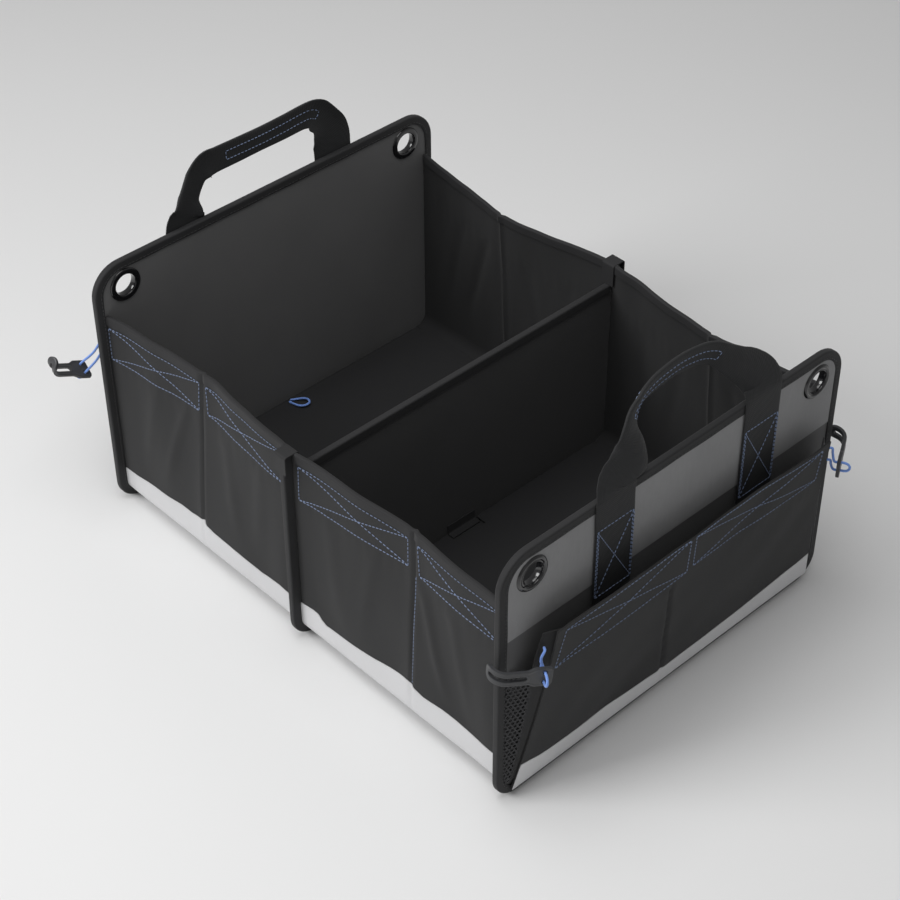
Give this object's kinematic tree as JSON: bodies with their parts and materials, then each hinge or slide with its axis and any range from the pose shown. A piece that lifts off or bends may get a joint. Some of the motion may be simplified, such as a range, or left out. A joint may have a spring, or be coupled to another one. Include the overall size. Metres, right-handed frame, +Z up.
{
  "type": "car storage box",
  "caption": "Open fabric organiser box for a car boot, with a middle divider, lift-up floor boards, stiff bound end walls, webbing handles and slanted end pockets.",
  "frame": {"origin": "on the floor under the middle of the box", "axes": "+X along the length to the near end, +Y across to the right long side, +Z up"},
  "size_m": [0.66, 0.5189, 0.3672],
  "materials": {
    "charcoal_cloth": "matt woven polyester",
    "light_cloth": "matt woven polyester, grey",
    "black_tape": "woven binding tape",
    "reflective_cloth": "silver grey coated cloth",
    "black_webbing": "woven webbing",
    "black_mesh": "knitted mesh",
    "covered_board": "cloth-covered board",
    "eyelet_black": "gloss black",
    "hook_plastic": "dark grey satin",
    "blue_elastic": "light blue braided elastic"
  },
  "bodies": {
    "box": {"base_cloth_far": "charcoal_cloth", "base_cloth_near": "charcoal_cloth", "centre_tab_left": "black_tape", "centre_tab_right": "black_tape", "divider_edge_binding": "black_tape", "divider_top_binding": "black_tape", "divider_wall": "charcoal_cloth", "elastic_far_left": "blue_elastic", "elastic_far_right": "blue_elastic", "elastic_near_left": "blue_elastic", "elastic_near_right": "blue_elastic", "end_binding_far": "black_tape", "end_binding_near": "black_tape", "end_facing_far": "light_cloth", "end_facing_near": "light_cloth", "end_wall_far": "charcoal_cloth", "end_wall_near": "charcoal_cloth", "eyelet_far_left": "eyelet_black", "eyelet_far_right": "eyelet_black", "eyelet_near_left": "eyelet_black", "eyelet_near_right": "eyelet_black", "handle_far": "black_webbing", "handle_near": "black_webbing", "hinge_tab_far": "black_tape", "hinge_tab_near": "black_tape", "hook_far_left": "hook_plastic", "hook_far_right": "hook_plastic", "hook_near_left": "hook_plastic", "hook_near_right": "hook_plastic", "pocket_front_far": "charcoal_cloth", "pocket_front_near": "charcoal_cloth", "pocket_gusset_far_left": "black_mesh", "pocket_gusset_far_right": "black_mesh", "pocket_gusset_near_left": "black_mesh", "pocket_gusset_near_right": "black_mesh", "pocket_strip_far": "reflective_cloth", "pocket_strip_near": "reflective_cloth", "reflective_strip_left_far": "reflective_cloth", "reflective_strip_left_near": "reflective_cloth", "reflective_strip_right_far": "reflective_cloth", "reflective_strip_right_near": "reflective_cloth", "side_binding_left_far": "black_tape", "side_binding_left_near": "black_tape", "side_binding_right_far": "black_tape", "side_binding_right_near": "black_tape", "side_wall_left_far": "charcoal_cloth", "side_wall_left_near": "charcoal_cloth", "side_wall_right_far": "charcoal_cloth", "side_wall_right_near": "charcoal_cloth"},
    "board_near": {"floor_board_near": "covered_board", "pull_loop_near": "blue_elastic"},
    "board_far": {"floor_board_far": "covered_board", "pull_loop_far": "blue_elastic"}
  },
  "joints": [
    {"name": "floor_board_near_hinge", "type": "hinge", "parent": "box", "child": "board_near", "pos_m": [0.00475, 0, 0.0165], "axis": [0, -1, 0], "range_deg": [0, 88]},
    {"name": "floor_board_far_hinge", "type": "hinge", "parent": "box", "child": "board_far", "pos_m": [-0.00475, 0, 0.0165], "axis": [0, 1, 0], "range_deg": [0, 88]}
  ]
}
